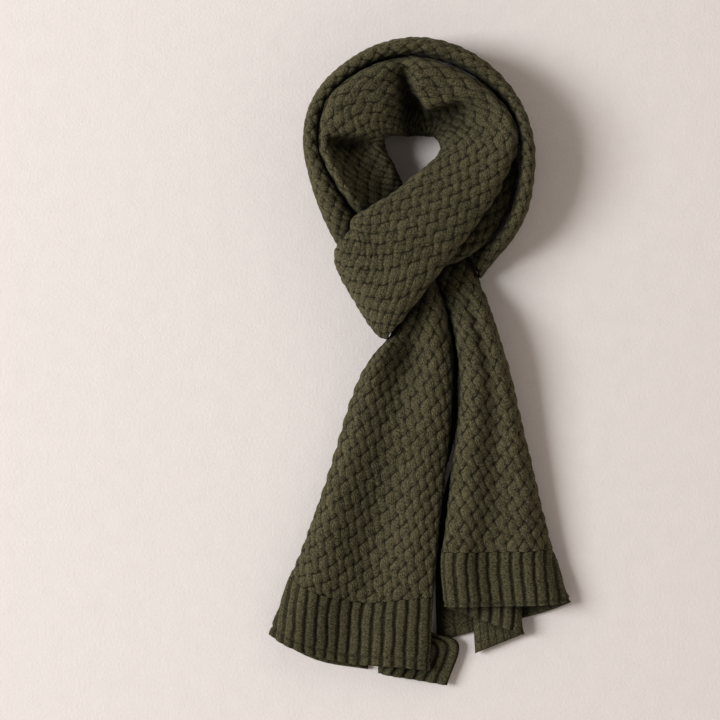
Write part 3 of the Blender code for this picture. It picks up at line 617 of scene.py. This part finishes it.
OUTER_LOOP = (
    # outer side     crease side      top
    Arch(-72.0, 105.0, -48.0, 122.0, 24.0),
    Arch(-76.5, 112.5, -52.2, 128.7, 27.0),
    Arch(-84.0, 127.0, -61.2, 137.7, 33.0),
    Arch(-92.7, 148.5, -73.8, 157.5, 40.0),
    Arch(-99.0, 169.0, -85.0, 176.0, 43.0),
    Arch(-104.0, 197.0, -91.1, 199.0, 45.0),
    Arch(-99.5, 227.0, -87.3, 225.0, 46.0),
    Arch(-88.0, 248.0, -75.6, 243.9, 46.0),
    Arch(-70.0, 265.5, -58.5, 258.5, 46.0),
    Arch(-40.5, 283.0, -34.5, 270.5, 46.0),
    Arch(-6.3, 290.4, -7.2, 275.4, 46.0),
    Arch(30.3, 284.0, 24.3, 268.7, 46.0),
    Arch(69.5, 259.0, 57.6, 250.2, 45.0),
    Arch(91.0, 229.0, 79.0, 228.5, 45.0),
    Arch(101.5, 194.0, 89.0, 198.0, 44.0),
    Arch(100.5, 160.5, 89.2, 168.0, 42.0),
    Arch(95.5, 136.0, 83.9, 141.5, 38.0),
    Arch(82.0, 111.0, 73.0, 119.0, 33.0),
    Arch(67.0, 93.0, 58.8, 106.0, 24.0),
    Arch(54.6, 77.4, 47.2, 99.6, 16.0),
)


def arch_sections(table):
    sections = []
    for row in table:
        crease = np.array([row.crease_x, row.crease_y])
        side = np.array([row.outer_x, row.outer_y]) - crease
        width = np.linalg.norm(side)
        side = side / width
        crease = crease + side * GAP

        def at(across, height):
            return (*(crease + side * across), height)

        sections.append(
            (
                at(0.8, 0.45 * row.top),
                at(0.0, 0.78 * row.top),
                at(0.24 * width, row.top - 0.8),
                at(0.58 * width, row.top),
                at(0.88 * width, 0.84 * row.top),
                at(width, 0.48 * row.top),
                at(width - 0.6, 0.14 * row.top),
                at(width - 4.0, 0.0),
                at(width - 11.0, 0.0),
            )
        )
    return sections


OUTER_FROM, OUTER_TO = -20.0, 78.0  # the columns across it, from the crease

outer_loop = Stretch(arch_sections(OUTER_LOOP), 1, 7, OUTER_FROM, OUTER_TO, -1)
outer_rows = np.linspace(0.0, outer_loop.length, points_on(outer_loop.length))
outer_columns = np.linspace(OUTER_FROM, OUTER_TO, points_on(OUTER_TO - OUTER_FROM))
loop_outer = cloth("loop_outer_knit", outer_loop, outer_rows, outer_columns, basket, seed=19, gauge=1.25)
loop_outer.data.materials.append(knit_wool)
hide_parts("loop_outer")

# ---------------------------------------------------------------- ring, inner stretch, and the front band
# The inner stretch lies beside it, gathered at the back of the neck, and runs on as the band that is laid
# over the knot. The band rolls over at its left end and goes back underneath.

Loop = namedtuple(
    "Loop", "fold_x fold_y edge_x edge_y top shoulder shoulder_z foot foot_z edge_top base lip"
)

FRONT_LOOP = (
    # outer fold    hole edge     top   shoulder    foot        edge base lip
    Loop(-37.0, 115.5, -4.5, 142.0, 25.0, 0.50, 23.0, 0.68, 19.8, 18.0, 3.4, 0.50),
    Loop(-48.6, 126.0, -10.8, 154.0, 28.0, 0.50, 24.5, 0.70, 19.0, 15.0, 0.0, 0.45),
    Loop(-58.6, 137.6, -16.2, 162.0, 36.0, 0.36, 28.0, 0.68, 21.0, 19.0, 0.0, 0.45),
    Loop(-72.2, 155.5, -20.7, 172.0, 44.0, 0.30, 33.0, 0.66, 23.0, 22.0, 0.0, 0.45),
    Loop(-83.6, 175.5, -26.0, 182.7, 48.0, 0.26, 35.0, 0.62, 25.0, 24.0, 0.0, 0.45),
    Loop(-89.2, 189.0, -30.5, 190.0, 49.0, 0.24, 34.0, 0.58, 25.0, 25.0, 0.0, 0.45),
    Loop(-90.2, 199.0, -32.0, 197.5, 49.0, 0.22, 33.0, 0.56, 24.0, 25.0, 0.0, 0.45),
    Loop(-89.6, 206.5, -30.6, 203.5, 50.0, 0.50, 46.0, 0.82, 40.0, 35.0, 0.0, 0.45),
    Loop(-88.4, 215.0, -27.0, 205.0, 51.0, 0.50, 49.5, 0.82, 43.0, 36.0, 0.0, 0.45),
    Loop(-84.4, 230.4, -22.0, 205.0, 51.5, 0.50, 50.0, 0.82, 42.0, 34.0, 0.0, 0.45),
    Loop(-73.8, 244.0, -17.5, 205.0, 51.0, 0.50, 50.0, 0.82, 40.0, 31.0, 0.0, 0.45),
    Loop(-56.7, 256.8, -13.5, 205.0, 50.5, 0.50, 49.0, 0.80, 35.0, 25.0, 0.0, 0.45),
    Loop(-36.0, 266.5, -10.0, 205.2, 50.0, 0.50, 43.0, 0.74, 24.0, 14.0, 0.0, 0.45),
    Loop(-16.0, 271.5, -7.0, 205.4, 45.0, 0.26, 34.0, 0.55, 15.0, 12.0, 0.0, 0.45),
    Loop(-5.0, 271.8, -1.0, 205.6, 49.5, 0.44, 47.5, 0.56, 16.0, 12.0, 0.0, 0.45),
    Loop(9.0, 269.0, 3.0, 205.6, 50.5, 0.60, 48.0, 0.70, 16.0, 12.0, 0.0, 0.45),
    Loop(30.5, 261.0, 6.0, 205.4, 50.5, 0.52, 47.5, 0.63, 16.0, 12.0, 0.0, 0.45),
    Loop(51.5, 249.0, 9.0, 205.2, 50.0, 0.30, 47.0, 0.45, 22.0, 12.0, 0.0, 0.45),
    Loop(69.5, 234.0, 12.6, 204.8, 49.0, 0.20, 44.0, 0.55, 27.0, 16.0, 0.0, 0.45),
    Loop(81.0, 219.3, 15.8, 201.6, 48.0, 0.26, 43.0, 0.62, 33.0, 25.0, 0.0, 0.45),
    Loop(86.5, 202.5, 18.0, 197.1, 48.0, 0.40, 43.5, 0.72, 37.0, 30.0, 0.0, 0.45),
    Loop(85.8, 191.7, 18.9, 192.6, 47.0, 0.55, 44.0, 0.80, 38.5, 34.0, 0.0, 0.50),
    Loop(81.0, 178.2, 15.3, 185.4, 46.5, 0.60, 44.5, 0.80, 41.0, 36.0, 8.0, 0.65),
    Loop(74.7, 164.7, 6.3, 176.4, 47.0, 0.60, 46.0, 0.78, 43.5, 39.0, 20.0, 0.85),
    Loop(67.5, 149.4, -6.3, 166.5, 48.0, 0.60, 48.5, 0.76, 46.0, 42.5, 31.0, 0.94),
    Loop(54.0, 130.5, -21.6, 153.0, 49.5, 0.60, 51.0, 0.76, 48.5, 45.0, 33.0, 0.94),
    Loop(37.5, 108.0, -40.5, 141.3, 50.5, 0.60, 52.5, 0.76, 50.0, 46.0, 33.0, 0.94),
    Loop(19.5, 85.0, -59.4, 129.6, 50.0, 0.60, 51.5, 0.76, 49.0, 45.5, 33.0, 0.94),
)


def loop_sections(table):
    sections = []
    for row in table:
        fold = np.array([row.fold_x, row.fold_y])
        across = np.array([row.edge_x, row.edge_y]) - fold

        def at(share, height):
            return (*(fold + across * share), height)

        sections.append(
            (
                at(0.05, row.top - 16.0),
                at(0.0, row.top - 7.0),
                at(0.10, row.top - 0.5),
                at(0.5 * row.shoulder, 0.5 * (row.top + row.shoulder_z) + 1.0),
                at(row.shoulder, row.shoulder_z),
                at(row.foot, row.foot_z),
                at(0.95, row.edge_top),
                at(1.0, 0.5 * (row.edge_top + row.base)),
                at(0.25 * row.lip + 0.75, row.base),
                at(row.lip, row.base),
            )
        )
    return sections


NOSE_START, NOSE_END = np.array([-34.0, 18.5]), np.array([-80.0, 98.0])  # the band's fold at its left end
NOSE_DEEP, NOSE_HALF = 22.0, 23.0  # how far the fold curls in, and half its height
NOSE_SLANT = 7.5  # the band meets its fold at a slant
NOSE_ANGLES = (0, 30, 60, 90, 120, 150, 175)


def nose_sections():
    """The band's rounded left end, where the cloth rolls over and back under the knot."""
    line = NOSE_END - NOSE_START
    along = -line / np.linalg.norm(line)
    outward = np.array([along[1], -along[0]])
    outward = outward if outward[0] < 0 else -outward
    profile = (  # share across, height out of the roll, share across where it lies flat
        (0.07, -9.0, 0.05),
        (0.00, -5.5, 0.10),
        (0.07, -0.5, 0.18),
        (0.28, 2.5, 0.32),
        (0.50, 3.0, 0.50),
        (0.72, 3.0, 0.68),
        (0.93, -0.5, 0.81),
        (1.00, -5.5, 0.88),
        (0.97, -8.0, 0.92),
        (0.93, -9.5, 0.96),
    )
    sections = []
    for degrees in NOSE_ANGLES:
        angle = np.radians(degrees)
        fade = 1.0 if degrees < 100 else max(0.0, (175 - degrees) / 75)
        slant = NOSE_SLANT * min(degrees - 90, 0) / 90
        section = []
        for share, height, flat_share in profile:
            height = height * fade
            plan = NOSE_START + line * (share * fade + flat_share * (1 - fade)) + along * slant
            plan = plan + outward * (NOSE_DEEP * (np.sin(angle) - 1) + height * np.sin(angle))
            section.append((*plan, NOSE_HALF * (1 + np.cos(angle)) + height * np.cos(angle)))
        sections.append(section)
    tail_end = [(x - 14.0 * outward[0], y - 14.0 * outward[1], z) for x, y, z in sections[-1]]
    return sections + [tail_end]


FRONT_FROM, FRONT_SHOWN, FRONT_TO = -16.0, 104.0, 130.0  # the columns across it, from the outer fold

front_sections = loop_sections(FRONT_LOOP) + nose_sections()
front_loop = Stretch(front_sections, 1, 7, FRONT_FROM, FRONT_TO, 1)
front_rows = np.linspace(0.0, front_loop.length, points_on(front_loop.length))
front_columns = np.linspace(FRONT_FROM, FRONT_SHOWN, points_on(FRONT_SHOWN - FRONT_FROM))
front_columns = np.concatenate([front_columns, np.linspace(FRONT_SHOWN, FRONT_TO, 7)[1:]])
loop_front = cloth("loop_front_knit", front_loop, front_rows, front_columns, basket, seed=23, gauge=1.1)
loop_front.data.materials.append(knit_wool)
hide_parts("loop_front")

# ---------------------------------------------------------------- layer under the band
# The edge of the layer below the band, of the same weave, which shows as a narrow strip along the band's
# lower side. It lies over the top of the right tail.

Strip = namedtuple("Strip", "edge_x edge_y inner_x inner_y top")

UNDER_BAND = (
    # outer fold   end under band  top
    Strip(87.0, 181.0, 77.0, 179.0, 28.0),
    Strip(86.2, 165.0, 68.0, 165.0, 28.5),
    Strip(81.5, 142.5, 62.0, 147.0, 27.5),
    Strip(70.0, 121.5, 52.0, 130.0, 26.0),
    Strip(54.0, 103.5, 40.0, 114.0, 25.0),
    Strip(36.0, 92.7, 26.0, 103.0, 24.4),
    Strip(21.0, 86.5, 15.0, 95.0, 23.7),
)


def strip_sections(table):
    sections = []
    for row in table:
        edge = np.array([row.edge_x, row.edge_y])
        across = np.array([row.inner_x, row.inner_y]) - edge

        def at(share, height):
            return (*(edge + across * share), height)

        sections.append(
            (
                at(1.0, row.top + 0.5),
                at(0.5, row.top),
                at(0.16, row.top - 0.6),
                at(0.0, row.top - 4.5),
                at(0.16, row.top - 8.0),
                at(0.45, row.top - 8.6),
            )
        )
    return sections


STRIP_FROM, STRIP_TO = -1.0, 44.0  # the columns across it, from its end under the band

under_band = Stretch(strip_sections(UNDER_BAND), 0, 3, STRIP_FROM, STRIP_TO, -1)
strip_rows = np.linspace(0.0, under_band.length, points_on(under_band.length))
strip_columns = np.linspace(STRIP_FROM, STRIP_TO, 41)
band_under = cloth("band_under_knit", under_band, strip_rows, strip_columns, basket, seed=29)
band_under.data.materials.append(knit_wool)
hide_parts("band_under")

# ---------------------------------------------------------------- hidden layers
# Folded layers inside the knot and the tails: the rest of the strip, packed flat under the stretches above.
# At the edges the single layers can be told apart.

LAID = WALL + GAP  # height of the lowest layer where the cloth under it lies on the floor
LIFTED = LAID + LEFT_TAIL[0].base  # and where the left tail's root is lifted
LAYER_BULGE = 1.6  # how deep the creases between two layers are
LAYER_SPACING, LAYER_RINGS = 2.0, 6  # spacing of the points on top, and rings of points for each layer
LEAST_STACK = 2.0  # the lowest the whole stack gets
KNOT_FROM, KNOT_TO = 23, 26  # the stations of the front loop between which the knot is full


def layers(name, stretch, rows, columns, foot_at, foot_heights, clear, count):
    """A stack of layers just inside a stretch, as one closed piece with a rounded edge for each layer."""
    rows = np.linspace(*rows, points_on(rows[1] - rows[0], LAYER_SPACING))
    columns = np.linspace(*columns, points_on(columns[1] - columns[0], LAYER_SPACING))
    base = faired(stretch.points(rows, columns), 2)
    top = base - normals_of(base, stretch.facing) * (WALL + clear)
    foot = np.interp(rows, foot_at, foot_heights)[:, None] + 0 * columns[None, :]
    top[..., 2] = np.maximum(top[..., 2], foot + LEAST_STACK)
    grid = np.arange(foot.size).reshape(foot.shape)
    around = np.concatenate([grid[0, :-1], grid[:-1, -1], grid[-1, :0:-1], grid[:0:-1, 0]])
    rim, rim_foot = top.reshape(-1, 3)[around], foot.ravel()[around]
    along = np.roll(rim, -1, axis=0) - np.roll(rim, 1, axis=0)
    inward = np.stack([along[:, 1], -along[:, 0], 0 * along[:, 0]], axis=1)
    inward = inward / (np.linalg.norm(inward, axis=1, keepdims=True) + 1e-9)
    inward = inward * np.sign(np.sum(inward * (rim.mean(axis=0) - rim)))
    knit_place = np.stack(np.meshgrid(columns, rows), axis=-1).reshape(-1, 2)
    bottom = np.concatenate([top[..., :2].reshape(-1, 2), foot.reshape(-1, 1)], axis=1)
    rings, points, places = [around], [top.reshape(-1, 3)], [knit_place]
    steps = LAYER_RINGS * count
    for step in range(1, steps + 1):
        down = step / steps
        crease = 1.1 - abs(math.sin(math.pi * count * down)) ** 0.5
        ring = rim + inward * LAYER_BULGE * crease
        ring[:, 2] = rim[:, 2] + (rim_foot - rim[:, 2]) * down
        first = sum(map(len, points))
        if step < steps:
            rings.append(first + np.arange(len(around)))
            points.append(ring)
            places.append(knit_place[around] + [0.0, step])
        else:
            rings.append(first + around)
            bottom[around] = ring
            points.append(bottom)
            places.append(knit_place)
    faces = squares(grid) + squares((grid + first)[:, ::-1])
    for upper, lower in zip(rings, rings[1:]):
        faces += np.stack([upper, np.roll(upper, -1), np.roll(lower, -1), lower], axis=1).tolist()
    piece = knitted_piece(name + "_knit", np.concatenate(points), faces, np.concatenate(places))
    piece.data.materials.append(knit_wool)
    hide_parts(name)


layers(
    "layers_left",
    left,
    rows=(42.0, 258.0),
    columns=(13.0, 32.0),
    foot_at=(40.0, 75.0),
    foot_heights=(LIFTED, LAID),
    clear=4.0 * GAP,
    count=3,
)
layers(
    "layers_right",
    right,
    rows=(66.0, 225.0),
    columns=(11.5, 20.0),
    foot_at=(0.0, 1.0),
    foot_heights=(LAID, LAID),
    clear=4.0 * GAP,
    count=3,
)
layers(
    "layers_knot",
    front_loop,
    rows=front_loop.stations[[KNOT_FROM, KNOT_TO]],
    columns=(15.0, 54.0),
    foot_at=(0.0, 1.0),
    foot_heights=(LAID, LAID),
    clear=1.5 * GAP,
    count=6,
)

# ---------------------------------------------------------------- floor, light and camera
# A pale plastered floor, a large soft light from the left, dimmer light from the walls all round, and a
# camera straight above.

bpy.ops.object.select_all(action="DESELECT")
bpy.ops.mesh.primitive_plane_add(size=8.0, location=(0, 0, -0.0005))
floor = bpy.context.object
floor.name = "floor"
plaster = bpy.data.materials.new("plaster")
plaster.use_nodes = True
ground = Thread(plaster.node_tree)
ground_shader = plaster.node_tree.nodes["Principled BSDF"]
ground_shader.inputs["Roughness"].default_value = 0.9
ground_place = ground.node("ShaderNodeTexCoord", {}, {}, "Object")
grain = ground.node("ShaderNodeTexNoise", {}, {"Vector": ground_place, "Scale": 420.0, "Detail": 3.0}, "Fac")
mottle = ground.node("ShaderNodeTexNoise", {}, {"Vector": ground_place, "Scale": 60.0, "Detail": 4.0}, "Fac")
ground_colour = ground.node(
    "ShaderNodeMix",
    {"data_type": "RGBA"},
    {
        "Factor": (grain * 0.5 + mottle * 0.5).clipped(),
        6: (0.75, 0.70, 0.69, 1.0),
        7: (0.85, 0.80, 0.785, 1.0),
    },
    2,
)
plaster.node_tree.links.new(ground_colour.socket, ground_shader.inputs["Base Color"])
ground_bump = ground.node(
    "ShaderNodeBump", {}, {"Strength": 0.25, "Distance": 0.001, "Height": grain + mottle}
)
plaster.node_tree.links.new(ground_bump.socket, ground_shader.inputs["Normal"])
floor.data.materials.append(plaster)

WALLS_END = 0.45  # sine of the angle at which the walls begin to fade into the ceiling

world = bpy.context.scene.world or bpy.data.worlds.new("studio")
bpy.context.scene.world = world
world.use_nodes = True
sky = Thread(world.node_tree)
direction = sky.node("ShaderNodeTexCoord", {}, {}, "Generated")
height_of_sky = sky.node("ShaderNodeSeparateXYZ", {}, {0: direction}, "Z")
sky_colour = sky.node(
    "ShaderNodeMix",
    {"data_type": "RGBA"},
    {
        "Factor": ((height_of_sky - WALLS_END) * 3.0).clipped(),
        6: (1.0, 0.90, 0.80, 1.0),  # the walls
        7: (0.08, 0.07, 0.06, 1.0),  # the dark ceiling above them
    },
    2,
)
world.node_tree.links.new(sky_colour.socket, world.node_tree.nodes["Background"].inputs["Color"])
world.node_tree.nodes["Background"].inputs["Strength"].default_value = 0.92


def softbox(name, place, aim, size, watts):
    bpy.ops.object.light_add(type="AREA", location=place)
    lamp = bpy.context.object
    lamp.name = name
    lamp.data.size = size
    lamp.data.energy = watts
    away = np.array(place) - np.array(aim)
    away = away / np.linalg.norm(away)
    lamp.rotation_euler = (math.acos(away[2]), 0.0, math.atan2(away[1], away[0]) + math.pi / 2)


softbox("key_light", place=(-4.2, 0.4, 2.65), aim=(0.0, 0.0, 0.0), size=2.0, watts=282.0)

VIEW_CENTRE, VIEW_HEIGHT = (-0.054, 0.0027), 1.8
VIEW_WIDTH, VIEW_LEVEL = 0.648, 0.02  # what the picture is wide, measured at the height of the folds
SENSOR = 36.0
bpy.ops.object.camera_add(location=(*VIEW_CENTRE, VIEW_HEIGHT), rotation=(0.0, 0.0, 0.0))
camera = bpy.context.object
camera.data.sensor_width = SENSOR
camera.data.lens = SENSOR * (VIEW_HEIGHT - VIEW_LEVEL) / VIEW_WIDTH
camera.data.clip_end = 20.0
bpy.context.scene.camera = camera
bpy.context.scene.view_settings.view_transform = "Standard"
